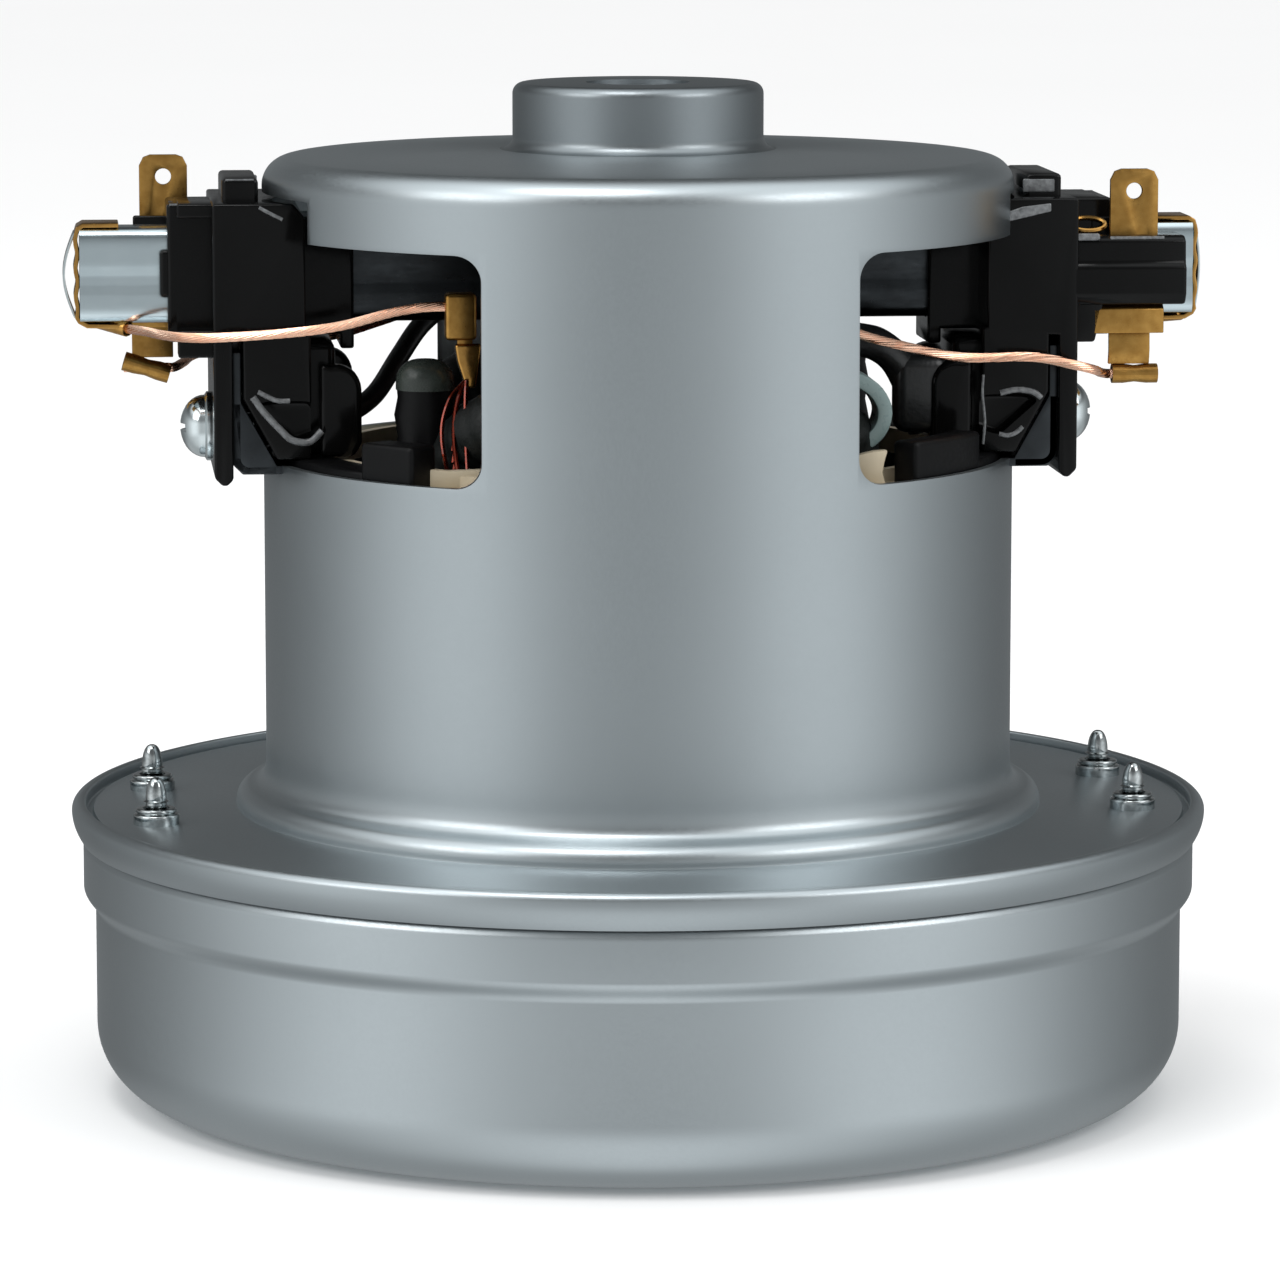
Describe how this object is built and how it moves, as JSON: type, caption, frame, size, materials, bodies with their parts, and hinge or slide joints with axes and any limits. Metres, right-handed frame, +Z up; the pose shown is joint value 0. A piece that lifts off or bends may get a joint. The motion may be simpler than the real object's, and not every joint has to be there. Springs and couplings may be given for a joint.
{
  "type": "vacuum motor unit",
  "caption": "Dry vacuum motor: tall steel can with air windows and brush holders on a wide fan case, armature, commutator, bearings and fan on one shaft.",
  "frame": {"origin": "middle of the flat base, on the shaft's axis", "axes": "+Z up along the shaft, +X through the right brush holder, -Y towards the front web between the windows"},
  "size_m": [0.136, 0.1354, 0.1202],
  "materials": {
    "zinc_sheet": "satin, zinc coated, drawn",
    "dark_plastic": "moulded",
    "pressed_steel": "pressed sheet",
    "zinc_screw": "bright zinc plated",
    "rubber": "moulded",
    "spring_steel": "drawn wire",
    "bearing_steel": "ground",
    "cage_brass": "stamped",
    "lamination": "stacked sheet, oxidised",
    "cream_insulation": "pressed fibre",
    "black_tape": "wrapped tape",
    "liner_film": "film",
    "terminal_brass": "stamped, slightly tarnished",
    "black_sleeve": "woven sleeve",
    "ground_steel": "ground",
    "magnet_wire": "enamelled copper wire",
    "commutator_copper": "turned copper",
    "brown_phenolic": "moulded",
    "fan_aluminium": "pressed sheet",
    "black_phenolic": "moulded, glossy",
    "zinc_tube": "folded, bright zinc plated",
    "carbon": "pressed carbon",
    "clip_brass": "stamped",
    "bare_copper": "bare stranded copper"
  },
  "bodies": {
    "frame": {"motor_housing": "zinc_sheet", "fan_cover": "zinc_sheet", "diffuser": "dark_plastic", "bearing_plate": "pressed_steel", "flange_screws": "zinc_screw", "upper_bearing_cushion": "rubber", "bearing_retainer": "pressed_steel", "preload_washer": "spring_steel", "upper_outer_race": "bearing_steel", "lower_outer_race": "bearing_steel", "stator_core": "lamination", "end_insulators": "cream_insulation", "front_field_coil": "black_tape", "back_field_coil": "black_tape", "slot_liners": "liner_film", "coil_terminals": "terminal_brass", "sleeved_leads": "black_sleeve", "left_brush_holder": "black_phenolic", "right_brush_holder": "black_phenolic", "left_brush_tube": "zinc_tube", "right_brush_tube": "zinc_tube", "left_brush_spring": "spring_steel", "right_brush_spring": "spring_steel", "left_end_clip": "clip_brass", "right_end_clip": "clip_brass", "left_terminal": "terminal_brass", "right_terminal": "terminal_brass", "holder_screws": "zinc_screw", "left_brush_lead": "bare_copper", "right_brush_lead": "bare_copper", "left_mains_lead": "bare_copper", "right_mains_lead": "bare_copper"},
    "rotor": {"shaft": "ground_steel", "armature_core": "lamination", "armature_winding": "magnet_wire", "commutator_bars": "commutator_copper", "commutator_hub": "brown_phenolic", "upper_inner_race": "bearing_steel", "lower_inner_race": "bearing_steel", "fan_back_disc": "fan_aluminium", "fan_front_disc": "fan_aluminium", "fan_blades": "fan_aluminium", "fan_spacer": "ground_steel", "fan_washer": "zinc_screw", "fan_nut": "zinc_screw"},
    "upper_ball_cage": {"upper_balls": "bearing_steel", "upper_cage": "cage_brass"},
    "lower_ball_cage": {"lower_balls": "bearing_steel", "lower_cage": "cage_brass"},
    "left_brush": {"left_carbon_brush": "carbon"},
    "right_brush": {"right_carbon_brush": "carbon"}
  },
  "joints": [
    {"name": "rotor_spin", "type": "hinge", "parent": "frame", "child": "rotor", "pos_m": [0, 0, 0.07], "axis": [0, 0, 1], "continuous": true},
    {"name": "upper_cage_spin", "type": "hinge", "parent": "frame", "child": "upper_ball_cage", "pos_m": [0, 0, 0.1154], "axis": [0, 0, 1], "continuous": true},
    {"name": "lower_cage_spin", "type": "hinge", "parent": "frame", "child": "lower_ball_cage", "pos_m": [0, 0, 0.0309], "axis": [0, 0, 1], "continuous": true},
    {"name": "left_brush_slide", "type": "slide", "parent": "frame", "child": "left_brush", "axis": [-1, 0, 0], "range_m": [0, 0.008], "stiffness_N_per_m": 300, "springref_m": -0.01, "deforming": ["left_brush_spring"]},
    {"name": "right_brush_slide", "type": "slide", "parent": "frame", "child": "right_brush", "axis": [1, 0, 0], "range_m": [0, 0.008], "stiffness_N_per_m": 300, "springref_m": -0.01, "deforming": ["right_brush_spring"]}
  ],
  "couplings": [
    {"joint": "upper_cage_spin", "follows": "rotor_spin", "ratio": 0.3733},
    {"joint": "lower_cage_spin", "follows": "rotor_spin", "ratio": 0.3733}
  ]
}
